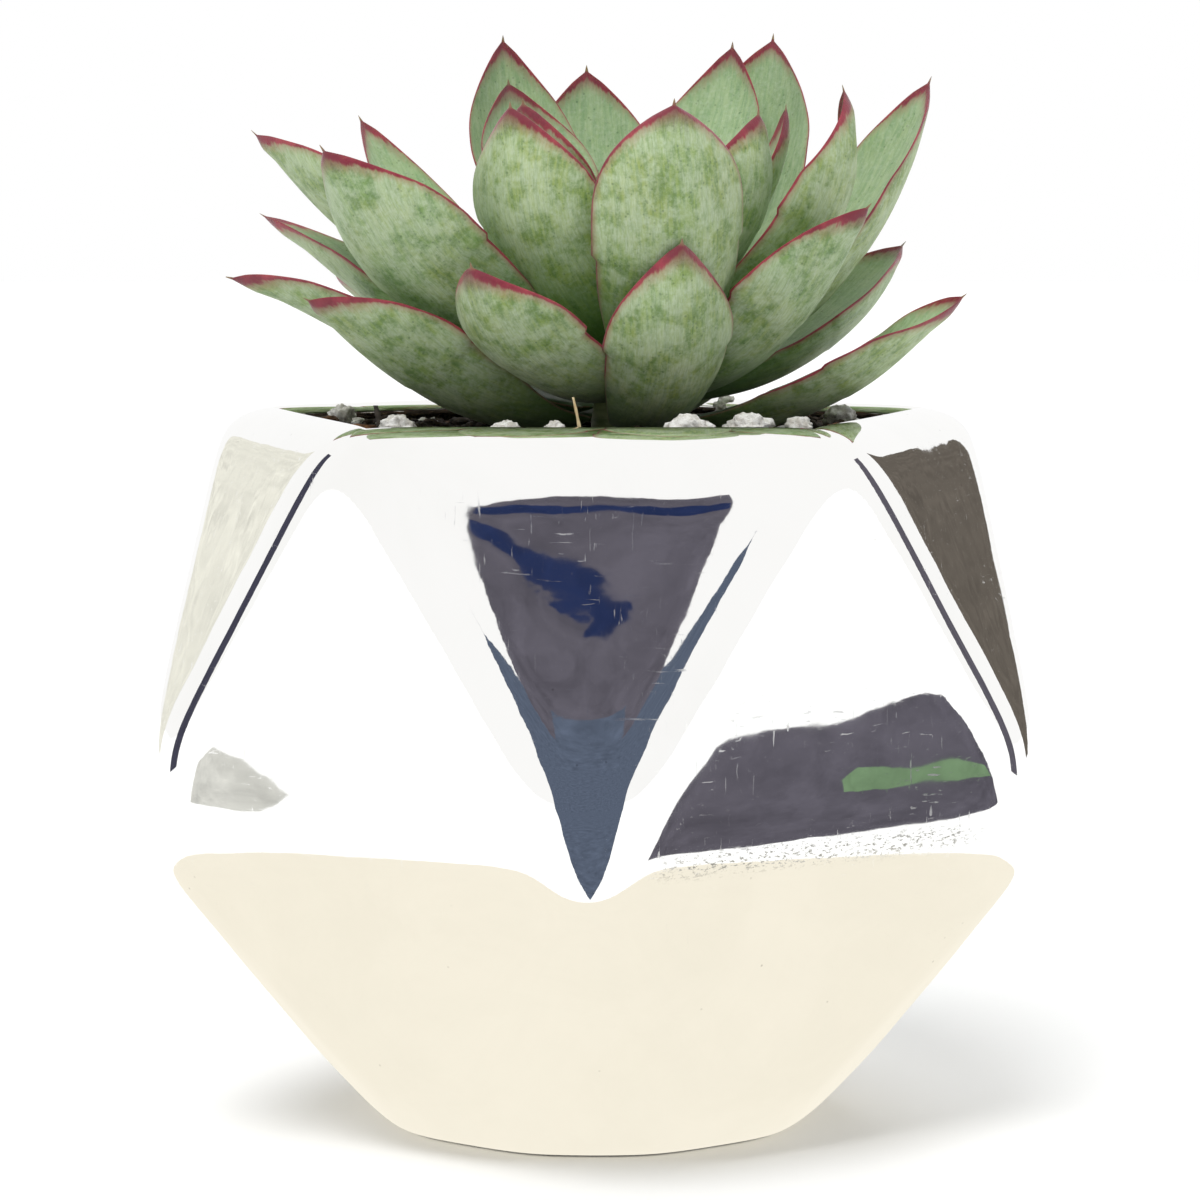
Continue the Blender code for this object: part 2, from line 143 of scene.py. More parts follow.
# Loose pieces on the soil, as in the CAD: kind, place, size, turn about the upright
GRAINS = {
    "perlite_front": ("perlite", 9.0, -24.0, (4.6, 3.2, 2.8), 10),
    "perlite_front_right": ("perlite", 14.8, -18.0, (4.6, 3.4, 2.8), -20),
    "perlite_right": ("perlite", 20.0, -13.5, (2.8, 2.2, 2.2), 30),
    "perlite_front_left": ("perlite", -8.4, -22.0, (3.0, 2.6, 2.4), 50),
    "perlite_left": ("perlite", -19.0, -18.0, (3.2, 2.6, 2.6), 15),
    "perlite_by_straw": ("perlite", -3.8, -23.0, (2.4, 2.2, 2.2), 70),
    "perlite_right_back": ("perlite", 25.0, 8.0, (3.2, 2.6, 2.2), 0),
    "perlite_left_back": ("perlite", -26.0, 10.0, (3.0, 2.6, 2.2), 40),
    "perlite_back_left": ("perlite", -12.0, 27.0, (3.6, 2.8, 2.2), 25),
    "perlite_back_right": ("perlite", 14.0, 26.0, (3.0, 2.4, 2.2), -35),
    "bark_left": ("bark", -24.0, -13.0, (5.6, 1.8, 1.4), 20),
    "bark_front_left": ("bark", -13.5, -24.5, (3.8, 1.6, 1.2), -15),
    "bark_right": ("bark", 24.0, -11.0, (3.0, 1.6, 1.4), 35),
    "bark_right_back": ("bark", 18.0, 12.0, (4.2, 2.4, 2.8), -10),
    "bark_back": ("bark", 1.0, 29.5, (5.0, 1.8, 1.4), 5),
    "bark_left_back": ("bark", -27.0, 2.0, (4.0, 1.8, 1.4), 70),
}
STALKS = {
    "twig": ((-20.6, -15.0), 3.4, 0.8, 24, -60),
    "straw": ((-1.2, -25.6), 4.6, 0.4, 16, 40),
}
CRUMBS = {"soil": 900, "perlite": 90, "bark": 110}     # small loose bits of each kind

# Camera
CAMERA_PLACE = (0.53, -425.0, 93.5)
CAMERA_PITCH = -5.5
CAMERA_LENS = 126.9

# Studio flags that the plating mirrors. Each hangs where one facet shows it: azimuth of the
# facet, whether it points down, how far off the flag is (1 is the facet itself, 2 is as far
# again as the camera), colour, and its outline as it appears on the facet, in millimetres
# across the facet and above the base.
FLAGS = {
    "flag_dark": (0, True, 1.75, "slate", (
        (-7.6, 73), (-2, 76.5), (12.6, 77.5), (13.6, 72), (13.4, 62), (12.6, 56), (14, 51),
        (16, 45), (16, 40), (13, 34), (0.5, 26), (-13, 34), (-15.5, 40), (-15, 45), (-13.4, 51),
        (-12.6, 55), (-12.8, 60), (-12.2, 66), (-10.6, 70.4))),
    "flag_navy_top": (0, True, 1.70, "navy", (
        (-10.2, 70), (-4, 71.4), (2, 71), (8, 72.2), (13.2, 71.6), (13.2, 69), (6, 68),
        (0, 68.6), (-5, 67.6), (-10.8, 67.4))),
    "flag_navy_middle": (0, True, 1.70, "navy", (
        (-12, 65), (-7, 62.4), (-3, 59.4), (1, 58.4), (4.6, 57.2), (5, 55.2), (2, 53.8), (-2, 54.2),
        (-1, 56.2), (-5, 57), (-8, 59.6), (-12, 61))),
    "flag_denim": (0, True, 1.65, "denim", (
        (-6.5, 43.4), (0, 42.4), (7, 45), (9, 38), (13, 30), (20, 10), (-20, 10), (-12, 30),
        (-9, 38))),
    "flag_right": (36, False, 1.2, "slate", (
        (-36, 22), (-24, 36.4), (-16, 43.2), (-9, 44.2), (0, 44.6), (8, 46), (14, 46.6),
        (19, 43.6), (25, 37.6), (34, 26), (10, 21), (-10, 19))),
    "flag_green": (36, False, 1.17, "leaf_green", (
        (1, 34.6), (6, 34.8), (12, 35.4), (18, 36), (25, 36), (22, 38), (15, 38.6), (9, 37.8),
        (3, 38.2), (0.6, 36.6))),
    "flag_far_right": (72, True, 2.2, "umber", (
        (-60, 95), (40, 95), (44, 60), (34, 30), (16, 6), (-16, 6), (-34, 30), (-50, 60))),
    "flag_left": (-36, False, 1.2, "pale_grey", (
        (-30, 26), (-24, 37.6), (-18, 40.4), (-13, 38), (-8, 33), (-14, 26))),
    "flag_far_left": (-72, True, 2.2, "cream", (
        (-60, 95), (60, 95), (44, 50), (16, 6), (-16, 6), (-44, 50))),
}

# Flags that the rounded edges mirror, each by its corners in millimetres
EDGE_FLAGS = {
    "flag_left_edge": ("ink", ((-299, 34, 0.4), (-284, 98, 0.4), (-284, 98, 240), (-299, 34, 240))),
    "flag_right_edge": ("slate", ((299, 40, 0.4), (280, 104, 0.4), (280, 104, 200), (299, 40, 200))),
    "flag_front": ("denim", ((-150, -600, 0.4), (150, -600, 0.4), (190, -600, 260), (120, -600, 420),
                             (-120, -600, 420), (-190, -600, 260))),
    "flag_front_floor": ("denim", ((0, -92, 0.4), (150, -600, 0.4), (-150, -600, 0.4))),
}
FLAG_COLOURS = {
    "slate": (0.115, 0.108, 0.135),
    "navy": (0.020, 0.032, 0.095),
    "denim": (0.10, 0.125, 0.18),
    "leaf_green": (0.19, 0.30, 0.17),
    "umber": (0.135, 0.118, 0.10),
    "pale_grey": (0.66, 0.66, 0.62),
    "cream": (0.84, 0.83, 0.74),
    "ink": (0.06, 0.06, 0.09),
}
FLOOR_CREAM = (0.97, 0.915, 0.78)
FLOOR_GLOW = 88.0              # radius of the warm floor that the lower half mirrors

# Light: the room's strength and tint, and suns as name, azimuth, elevation, strength, width
WORLD_TINT = (0.97, 0.99, 1.0)
WORLD_LIGHT = 0.55
SUNS = (
    ("key", -24, 60, 1.9, 30),
    ("back", 160, 62, 0.75, 40),
)


def direction(azimuth):
    angle = math.radians(azimuth)
    return np.array([math.sin(angle), -math.cos(angle), 0.0])


def sideways(azimuth):
    angle = math.radians(azimuth)
    return np.array([math.cos(angle), math.sin(angle), 0.0])


def lumps(points, seed):
    """Noise from -1 to 1 at each point."""
    shift = Vector((seed * 7.3, seed * 3.1, seed * 5.7))
    return np.array([noise.noise(Vector(point) + shift) for point in points])


# ---- Materials -------------------------------------------------------------------------


class Paint:
    """Builds a node material around one Principled BSDF."""

    def __init__(self, name):
        self.made = bpy.data.materials.new(name)
        self.made.use_nodes = True
        self.nodes = self.made.node_tree.nodes
        self.shader = self.nodes["Principled BSDF"]
        self.place = self.nodes.new("ShaderNodeTexCoord").outputs["Object"]

    def link(self, source, target):
        if isinstance(source, (int, float)):
            target.default_value = source
        elif isinstance(source, tuple):
            target.default_value = (*source, 1.0) if len(source) == 3 else source
        else:
            self.made.node_tree.links.new(source, target)

    def stretched(self, scale, source=None, turn=(0, 0, 0)):
        node = self.nodes.new("ShaderNodeMapping")
        node.inputs["Rotation"].default_value = turn
        node.inputs["Scale"].default_value = scale
        self.link(source or self.place, node.inputs["Vector"])
        return node.outputs["Vector"]

    def noise(self, scale, detail=3.0, roughness=0.55, where=None, warp=0.0):
        node = self.nodes.new("ShaderNodeTexNoise")
        node.inputs["Scale"].default_value = scale
        node.inputs["Detail"].default_value = detail
        node.inputs["Roughness"].default_value = roughness
        node.inputs["Distortion"].default_value = warp
        self.link(where or self.place, node.inputs["Vector"])
        return node.outputs["Fac"]

    def cells(self, scale, where=None, feature="F1"):
        node = self.nodes.new("ShaderNodeTexVoronoi")
        node.feature = feature
        node.inputs["Scale"].default_value = scale
        self.link(where or self.place, node.inputs["Vector"])
        return node.outputs["Distance"]

    def attribute(self, name, output="Fac"):
        node = self.nodes.new("ShaderNodeAttribute")
        node.attribute_name = name
        return node.outputs[output]

    def math(self, operation, first, second=0.0, third=0.0):
        node = self.nodes.new("ShaderNodeMath")
        node.operation = operation
        for value, socket in zip((first, second, third), node.inputs):
            self.link(value, socket)
        return node.outputs[0]

    def ramp(self, value, low, high, out_low=0.0, out_high=1.0):
        node = self.nodes.new("ShaderNodeMapRange")
        node.interpolation_type = "SMOOTHSTEP"
        for source, name in ((value, "Value"), (low, "From Min"), (high, "From Max"),
                             (out_low, "To Min"), (out_high, "To Max")):
            self.link(source, node.inputs[name])
        return node.outputs[0]

    def mix(self, share, first, second, blend="MIX"):
        node = self.nodes.new("ShaderNodeMix")
        node.data_type = "RGBA"
        node.blend_type = blend
        self.link(share, node.inputs["Factor"])
        self.link(first, node.inputs[6])
        self.link(second, node.inputs[7])
        return node.outputs[2]

    def bump(self, height, distance, strength=1.0, below=None):
        node = self.nodes.new("ShaderNodeBump")
        node.inputs["Distance"].default_value = distance * MM
        node.inputs["Strength"].default_value = strength
        self.link(height, node.inputs["Height"])
        if below is not None:
            self.link(below, node.inputs["Normal"])
        return node.outputs["Normal"]

    def finish(self, **sockets):
        for name, value in sockets.items():
            self.link(value, self.shader.inputs[name.replace("_", " ")])
        return self.made


def leaf_material():
    """Grey-green skin with a powdery bloom, yellow-green blotches, fine dark flecks and streaks
    along the leaf, a crimson margin that widens to a dark tip, and a dry brown point. Painted
    shade darkens each leaf towards its foot."""
    p = Paint("powdery_leaf")
    along = p.attribute("leaf_along")
    margin = p.attribute("leaf_margin")
    to_tip = p.attribute("leaf_to_tip")
    inner = p.ramp(p.attribute("leaf_face"), -0.25, 0.25)
    own = p.attribute("leaf_own")
    place = p.attribute("leaf_flat", "Vector")
    streaks = p.noise(1.0, 4.0, 0.6, p.stretched((2.4, 0.32, 1.0), place), 0.3)
    fine_streaks = p.noise(1.0, 3.0, 0.7, p.stretched((7.0, 0.8, 1.0), place))
    blotches = p.noise(150, 4.0, 0.6, warp=0.4)
    cloud = p.noise(420, 5.0, 0.65)
    grain = p.noise(1900, 3.0, 0.7)
    specks = p.cells(1500)

    green = p.mix(own, (0.205, 0.335, 0.095), (0.270, 0.370, 0.090))
    green = p.mix(p.ramp(blotches, 0.44, 0.66, 0.0, 0.75), green, (0.300, 0.375, 0.105))
    green = p.mix(p.ramp(streaks, 0.40, 0.62, 0.60, 0.0), green, (0.085, 0.185, 0.055))
    bare = p.ramp(cloud, 0.36, 0.60)
    powder = p.math("MULTIPLY", bare, p.ramp(fine_streaks, 0.30, 0.62, 0.45, 1.0))
    powder = p.math("MULTIPLY", powder, p.ramp(along, 0.18, 0.6, 0.25, 1.0))
    green = p.mix(p.math("MULTIPLY", powder, 0.70), green, (0.540, 0.635, 0.430))
    inside = p.mix(p.ramp(streaks, 0.35, 0.65), (0.270, 0.415, 0.215), (0.380, 0.510, 0.285))
    green = p.mix(p.math("MULTIPLY", inner, 0.75), green, inside)
    flecks = p.math("MULTIPLY", p.ramp(specks, 0.24, 0.10), p.ramp(cloud, 0.60, 0.45, 0.0, 0.5))
    green = p.mix(flecks, green, (0.060, 0.120, 0.045))
    green = p.mix(p.ramp(grain, 0.42, 0.70, 0.0, 0.24), green, (0.60, 0.68, 0.52))
    # Painted shade: each leaf is darkened towards its foot, where the leaves crowd round the stem
    green = p.mix(p.ramp(along, 0.46, 0.06, 0.0, 0.90), green, (0.070, 0.150, 0.030))

    near_tip = p.ramp(to_tip, 11.0, 0.0)
    width = p.math("MULTIPLY_ADD", p.math("POWER", near_tip, 2.5), 1.0, 0.24)
    width = p.math("MULTIPLY", width, p.ramp(streaks, 0.3, 0.7, 0.75, 1.3))
    width = p.math("MULTIPLY", width, p.ramp(along, 0.22, 0.5))
    blush_width = p.math("MULTIPLY_ADD", width, 2.6, 0.25)
    blush = p.ramp(p.math("DIVIDE", margin, blush_width), 1.0, 0.0, 0.0, 0.72)
    green = p.mix(blush, green, (0.330, 0.165, 0.120))
    red = p.ramp(p.math("DIVIDE", margin, p.math("ADD", width, 0.02)), 1.05, 0.55)
    crimson = p.mix(p.ramp(cloud, 0.35, 0.65), (0.200, 0.012, 0.030), (0.330, 0.040, 0.060))
    colour = p.mix(p.math("MULTIPLY", red, p.ramp(along, 0.2, 0.45)), green, crimson)
    dark_tip = p.ramp(p.math("ADD", to_tip, p.math("MULTIPLY", streaks, 2.0)), 4.4, 1.4)
    colour = p.mix(p.math("MULTIPLY", dark_tip, 0.85), colour, (0.150, 0.016, 0.030))
    colour = p.mix(p.ramp(to_tip, 0.85, 0.35), colour, (0.235, 0.135, 0.075))

    skin = p.math("ADD", p.math("MULTIPLY", fine_streaks, 0.6), p.math("MULTIPLY", cloud, 0.7))
    normal = p.bump(skin, 0.16, 0.55)
    normal = p.bump(grain, 0.05, 0.35, normal)
    roughness = p.ramp(powder, 0.0, 1.0, 0.46, 0.66)
    roughness = p.math("SUBTRACT", roughness, p.math("MULTIPLY", red, 0.14))
    p.shader.inputs["Subsurface Weight"].default_value = 0.10
    p.shader.inputs["Subsurface Radius"].default_value = (0.6, 1.0, 0.35)
    p.shader.inputs["Subsurface Scale"].default_value = 1.2 * MM
    p.shader.inputs["Sheen Weight"].default_value = 0.10
    p.shader.inputs["Sheen Roughness"].default_value = 0.5
    return p.finish(Base_Color=colour, Roughness=roughness, Normal=normal)


def plating_material():
    """Bright silver plating on ceramic: scratches, haze, pinholes and a worn belt crease."""
    p = Paint("mirror_plating")
    haze = p.noise(55, 5.0, 0.6, warp=0.6)
    one_way = p.noise(1.0, 2.0, 0.5, p.stretched((260, 900, 3400), turn=(0.4, 0.6, 0.9)), 0.8)
    other_way = p.noise(1.0, 2.0, 0.5, p.stretched((3600, 700, 300), turn=(-0.5, 0.3, 0.5)), 0.8)
    scratches = p.math("MAXIMUM", p.ramp(one_way, 0.66, 0.72), p.ramp(other_way, 0.67, 0.73))
    scratches = p.math("MULTIPLY", scratches, p.ramp(haze, 0.40, 0.60, 0.15, 0.8))
    pits = p.ramp(p.cells(330), 0.055, 0.025)
    pits = p.math("MULTIPLY", pits, p.ramp(p.noise(40), 0.5, 0.6))
    worn = p.attribute("pot_worn")
    grit = p.noise(1.0, 3.0, 0.8, p.stretched((1500, 1500, 3600)))
    speckle = p.math("MULTIPLY", p.ramp(grit, 0.53, 0.60), worn)
    colour = p.mix(p.ramp(haze, 0.35, 0.7), (0.955, 0.950, 0.935), (0.930, 0.925, 0.905))
    colour = p.mix(p.math("MULTIPLY", speckle, 0.75), colour, (0.24, 0.235, 0.215))
    colour = p.mix(p.math("MULTIPLY", pits, 0.55), colour, (0.45, 0.44, 0.42))
    roughness = p.ramp(haze, 0.3, 0.75, 0.015, 0.05)
    roughness = p.math("MULTIPLY_ADD", scratches, 0.22, roughness)
    roughness = p.math("MULTIPLY_ADD", speckle, 0.30, roughness)
    ripple = p.noise(330, 2.0, 0.5)
    normal = p.bump(ripple, 0.004, 1.0)
    normal = p.bump(pits, 0.03, -0.6, normal)
    p.shader.inputs["Metallic"].default_value = 1.0
    return p.finish(Base_Color=colour, Roughness=roughness, Normal=normal)


def gritty_material(name, dark, light, scale, roughness, height):
    """A matt, crumbly or pored surface between two colours."""
    p = Paint(name)
    coarse = p.noise(scale, 5.0, 0.7)
    fine = p.noise(scale * 5, 4.0, 0.7)
    pores = p.cells(scale * 2.2)
    colour = p.mix(p.ramp(coarse, 0.35, 0.65), dark, light)
    colour = p.mix(p.ramp(pores, 0.25, 0.05, 0.0, 0.55), colour, dark)
    relief = p.math("ADD", coarse, p.math("MULTIPLY", pores, 0.6))
    normal = p.bump(relief, height, 0.8)
    normal = p.bump(fine, height / 4, 0.7, normal)
    return p.finish(Base_Color=colour, Roughness=roughness, Normal=normal)


def fibre_material(name, dark, light, roughness, stretch):
    """Woody fibres that run along one direction."""
    p = Paint(name)
    fibres = p.noise(1.0, 5.0, 0.7, p.stretched(stretch), 0.4)
    colour = p.mix(p.ramp(fibres, 0.32, 0.68), dark, light)
    return p.finish(Base_Color=colour, Roughness=roughness, Normal=p.bump(fibres, 0.12, 0.9))


def stem_material():
    p = Paint("green_stem")
    bands = p.noise(1.0, 4.0, 0.6, p.stretched((300, 300, 900)))
    colour = p.mix(p.ramp(bands, 0.35, 0.65), (0.14, 0.20, 0.06), (0.30, 0.34, 0.14))
    return p.finish(Base_Color=colour, Roughness=0.55, Normal=p.bump(bands, 0.1, 0.7))


def glow_material(name, colour, variation=0.0):
    """A lit card in the studio."""
    made = bpy.data.materials.new(name)
    made.use_nodes = True
    nodes, links = made.node_tree.nodes, made.node_tree.links
    nodes.remove(nodes["Principled BSDF"])
    glow = nodes.new("ShaderNodeEmission")
    glow.inputs["Color"].default_value = (*colour, 1.0)
    if variation:
        place = nodes.new("ShaderNodeTexCoord")
        cloud = nodes.new("ShaderNodeTexNoise")
        cloud.inputs["Scale"].default_value = 120
        cloud.inputs["Detail"].default_value = 6
        cloud.inputs["Roughness"].default_value = 0.7
        spread = nodes.new("ShaderNodeMapRange")
        spread.inputs["From Min"].default_value = 0.3
        spread.inputs["From Max"].default_value = 0.7
        spread.inputs["To Min"].default_value = 1 - variation
        spread.inputs["To Max"].default_value = 1 + variation
        links.new(place.outputs["Object"], cloud.inputs["Vector"])
        links.new(cloud.outputs["Fac"], spread.inputs["Value"])
        links.new(spread.outputs[0], glow.inputs["Strength"])
    links.new(glow.outputs[0], nodes["Material Output"].inputs["Surface"])
    return made


def floor_material():
    made = bpy.data.materials.new("floor_white")
    made.use_nodes = True
    shader = made.node_tree.nodes["Principled BSDF"]
    shader.inputs["Base Color"].default_value = (0.95, 0.95, 0.945, 1)
    shader.inputs["Roughness"].default_value = 0.8
    shader.inputs["Specular IOR Level"].default_value = 0.2
    return made


# ---- Meshes ----------------------------------------------------------------------------


def piece(name, points, faces, finish, replaced=(), values=None, sharp=None):
    """A smooth piece from millimetre points, which rides on the root and replaces CAD nodes."""
    mesh = bpy.data.meshes.new(name)
    mesh.from_pydata((np.asarray(points) * MM).tolist(), [], faces)
    for label, data in (values or {}).items():
        data = np.asarray(data, np.float32)
        kind = "FLOAT" if data.ndim == 1 else "FLOAT_VECTOR"
        stored = mesh.attributes.new(label, kind, "POINT")
        stored.data.foreach_set("value" if kind == "FLOAT" else "vector", data.ravel())
    mesh.validate()
    mesh.shade_smooth()
    if sharp:
        mesh.set_sharp_from_angle(angle=math.radians(sharp))
    mesh.materials.append(finish)
    made = bpy.data.objects.new(name, mesh)
    bpy.context.scene.collection.objects.link(made)
    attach(made, ROOT)
    if replaced:
        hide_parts(*replaced)
    return made


def tube_faces(rings, sides):
    """Faces of a tube of rings, closed by a single point at each end. Points are the first
    end, the rings one after another, and the last end."""
    faces = []
    for side in range(sides):
        beside = (side + 1) % sides
        faces.append((0, 1 + beside, 1 + side))
        for ring in range(rings - 1):
            low, high = 1 + ring * sides, 1 + (ring + 1) * sides
            faces.append((low + side, low + beside, high + beside, high + side))
        low = 1 + (rings - 1) * sides
        faces.append((low + side, low + beside, 1 + rings * sides))
    return faces


# ---- Leaves ----------------------------------------------------------------------------


def heart_leaves():
    leaves = {}
    for number in range(HEART_LEAVES):
        turn = HEART_TURN + number * HEART_STEP
        leaves[f"leaf_heart_{number + 1}"] = (
            turn, turn,
            HEART_FOOT + number * HEART_RISE,
            HEART_REACH - number * HEART_REACH_STEP,
            HEART_TOP - number * HEART_TOP_STEP,
            HEART_START + number * HEART_START_STEP, HEART_END,
            HEART_WIDTH - number * HEART_WIDTH_STEP,
            HEART_FULLNESS, 0, 0,
        )
    return leaves


def leaf_width(along, width, fullness):
    """Half the leaf's width at fractions of its length."""
    swell = np.sin(math.pi / 2 * np.minimum(along / WIDEST, 1)) ** SWELL
    lower = LEAF_FOOT / 2 + (width - LEAF_FOOT) / 2 * swell
    fall = np.clip((along - WIDEST) / (1 - WIDEST), 0, 1)
    body = 1 - np.minimum(1, fall / BODY_END) ** fullness
    upper = width / 2 * body + SPINE * np.minimum(1, (1 - fall) / SPINE_LENGTH) ** 0.8
    half = np.where(along < WIDEST, lower, upper)
    return half * np.sqrt(np.maximum(0, 1 - (1 - np.minimum(along / FOOT_LENGTH, 1)) ** 2))


def leaf_frames(leaf, along, tip_style):
    """The leaf's centre line at fractions of its length: points, sides and faces."""
    tip_turn, foot_turn, foot_height, reach, height, start, end = leaf[:7]
    foot_roll, tip_roll = leaf[9:]
    curl, twist, sway = tip_style
    origin = np.array([*ROSETTE, RIM_HEIGHT])
    first = origin + STEM_GRIP * direction(foot_turn) + foot_height * UP
    last = origin + reach * direction(tip_turn) + height * UP
    handle = REACH_OF_HANDLES * np.linalg.norm(last - first)
    start, end = math.radians(start), math.radians(end)
    second = first + handle * (math.cos(start) * direction(foot_turn) + math.sin(start) * UP)
    third = last - handle * (math.cos(end) * direction(tip_turn) + math.sin(end) * UP)
    t = along[:, None]
    rest = 1 - t
    points = rest**3 * first + 3 * rest**2 * t * second + 3 * rest * t**2 * third + t**3 * last
    tangents = (
        (rest**2 + 1e-9) * (second - first) + 2 * rest * t * (third - second)
        + t**2 * (last - third)
    )
    tangents /= np.linalg.norm(tangents, axis=1, keepdims=True)
    turn = foot_turn + (tip_turn - foot_turn) * along
    sides = np.array([sideways(angle) for angle in turn])
    sides -= tangents * (sides * tangents).sum(1, keepdims=True)
    sides /= np.linalg.norm(sides, axis=1, keepdims=True)
    faces = np.cross(tangents, sides)
    late = np.clip((along - 0.72) / 0.28, 0, 1)
    roll = np.radians(foot_roll + (tip_roll - foot_roll) * along + twist * late**1.5)[:, None]
    rolled = np.cos(roll) * sides + np.sin(roll) * faces
    faces = np.cos(roll) * faces - np.sin(roll) * sides
    points = points + (late**2)[:, None] * (curl * faces + sway * rolled)
    return points, rolled, faces


def add_leaf(name, leaf, number, finish):
    """One leaf: thick and keeled in the middle, thin and gently waved at its margins."""
    width, fullness = leaf[7:9]
    along = (1 - np.cos(math.pi * np.arange(1, LEAF_RINGS + 1) / (LEAF_RINGS + 1))) / 2
    around = 2 * math.pi * np.arange(LEAF_SIDES) / LEAF_SIDES
    centres, sides, faces = leaf_frames(leaf, along, TIPS.get(name, (0.0, 0, 0.0)))
    half = leaf_width(along, width, fullness)
    thick = LEAF_THICKNESS * width * (1 - THINNING * along) * half / (width / 2)
    thick = np.maximum(thick, LEAST_THICKNESS * np.minimum(half, LEAF_FOOT / 2))
    across, rise = np.cos(around), np.sin(around)
    share = np.where(rise > 0, UPPER_SKIN, LOWER_SKIN)
    skin = thick[:, None] * share * np.sign(rise) * np.abs(rise) ** LEAF_EDGE
    edge = CUP * half[:, None] * across**2 * np.minimum(1, along / CUP_START)[:, None]
    length = np.concatenate([[0], np.cumsum(np.linalg.norm(np.diff(centres, axis=0), axis=1))])
    middle = np.repeat(length[:, None], LEAF_SIDES, 1)
    flat = np.stack([half[:, None] * across, middle, 0 * middle + number * 9.0], -1)
    left_right = np.where(across > 0, 1.0, -1.0)[None, :] * np.ones_like(middle)
    wave_places = np.stack([middle / 4.5, left_right * 3, 0 * middle + number], -1)
    wave = lumps(wave_places.reshape(-1, 3), 1).reshape(middle.shape)
    shoulder = np.clip((along - 0.3) / 0.3, 0, 1)[:, None]
    tip = np.clip((1 - along) / 0.08, 0, 1)[:, None]
    edge = edge + MARGIN_WAVE * wave * across**4 * shoulder * tip * (half[:, None] / 5)
    dents = lumps((flat * [0.30, 0.16, 1.0]).reshape(-1, 3), 2).reshape(middle.shape)
    skin = skin + SKIN_WAVE * dents * np.sign(rise) * np.abs(rise)
    reach = half[:, None] * across
    points = centres[:, None] + sides[:, None] * reach[..., None]
    points = points + faces[:, None] * (edge + skin)[..., None]
    rows = points.reshape(-1, 3)
    ends = centres[0] - (centres[1] - centres[0]) * 0.3, centres[-1] * 1.5 - centres[-2] * 0.5
    points = np.vstack([ends[0], rows, ends[1]])

    def per_point(values, at_foot, at_tip):
        grid = np.broadcast_to(values, middle.shape).ravel()
        return np.concatenate([[at_foot], grid, [at_tip]])

    margin = half[:, None] * (1 - np.abs(across))
    margin = margin + 0.5 * thick[:, None] * np.abs(rise) * (np.abs(across) > 0.8)
    flat = np.vstack([flat[0, 0], flat.reshape(-1, 3), flat[-1, 0]])
    own = noise.noise(Vector((number * 1.7, 0.4, 0.9))) + 0.5
    values = {
        "leaf_along": per_point(along[:, None], 0, 1),
        "leaf_face": per_point(rise[None, :], 0, 0),
        "leaf_margin": per_point(margin, 2, 0),
        "leaf_to_tip": per_point((length[-1] - length)[:, None], length[-1], 0),
        "leaf_own": np.full(len(points), own),
        "leaf_flat": flat,
    }
    made_faces = tube_faces(LEAF_RINGS, LEAF_SIDES)
    return piece("plant_" + name, points, made_faces, finish, (name,), values)


def add_stem():
    """The stem, ringed where old leaves have dropped."""
    rings, sides = 40, 32
    points = [(*ROSETTE, STEM_BOTTOM)]
    for ring in range(rings):
        share = ring / (rings - 1)
        height = STEM_BOTTOM + share * (STEM_TOP - STEM_BOTTOM)
        radius = STEM_RADIUS + share * (STEM_TOP_RADIUS - STEM_RADIUS)
        radius *= 1 - 0.06 * abs(math.sin(share * 30))
        for side in range(sides):
            angle = 2 * math.pi * side / sides
            points.append((
                ROSETTE[0] + radius * math.cos(angle), ROSETTE[1] + radius * math.sin(angle),
                height))
    points.append((*ROSETTE, STEM_TOP))
    faces = tube_faces(rings, sides)
    piece("plant_stem", points, faces, stem_material(), ("stem",))


# ---- Pot -------------------------------------------------------------------------------


def ring_points(radius, height, offset):
    corners = []
    for corner in range(SIDES):
        azimuth = POT_TURN + (corner + offset / 2) * 360 / SIDES
        corners.append(radius * direction(azimuth) + height * UP)
    return corners


def facet_plane(a, b, c):
    """Outward normal of the plane through three points and its distance from the pot's heart."""
    normal = np.cross(b - a, c - a)
    normal /= np.linalg.norm(normal)
    away = (a - POT_HEART * UP) @ normal
    return (normal, away) if away > 0 else (-normal, -away)


def pot_planes():
    rim = ring_points(RIM_RADIUS, RIM_HEIGHT, 1)
    belt = ring_points(BELT_RADIUS, BELT_HEIGHT, 0)
    base = ring_points(BASE_RADIUS, 0, 1)
    planes = []
    for corner in range(SIDES):
        after = (corner + 1) % SIDES
        before = corner - 1
        planes.append(facet_plane(rim[corner], belt[corner], belt[after]))
        planes.append(facet_plane(rim[before], rim[corner], belt[corner]))
        planes.append(facet_plane(base[corner], belt[corner], belt[after]))
        planes.append(facet_plane(base[before], base[corner], belt[corner]))
    level = [facet_plane(*rim[:3]), facet_plane(*base[:3])]
    return level + [(normal, distance + SWELL_OUT) for normal, distance in planes]


def rim_planes():
    """Sloping planes that round the outer edge of the rim."""
    planes = []
    for corner in range(SIDES):
        outward = direction(POT_TURN + corner * 360 / SIDES)
        edge = RIM_RADIUS * math.cos(math.pi / SIDES) * outward + (RIM_HEIGHT - POT_HEART) * UP
        for lift, cut in RIM_SLOPES:
            angle = math.radians(lift)
            normal = math.cos(angle) * outward + math.sin(angle) * UP
            planes.append((normal, edge @ normal - cut))
    return planes


def corner_planes():
    """Planes that take the tip off each corner of the belt and of the base."""
    planes = []
    corners = ring_points(BELT_RADIUS, BELT_HEIGHT, 0) + ring_points(BASE_RADIUS, 0, 1)
    for corner in corners:
        away = corner - POT_HEART * UP
        distance = np.linalg.norm(away)
        planes.append((away / distance, distance - CORNER_CUT))
    return planes


def soft_corner(directions, planes, sharpness):
    """Sum that is larger the nearer the planes are, rounded where they meet."""
    total = 0
    for normal, distance in planes:
        total = total + np.maximum(0, directions @ normal / distance) ** sharpness
    return total


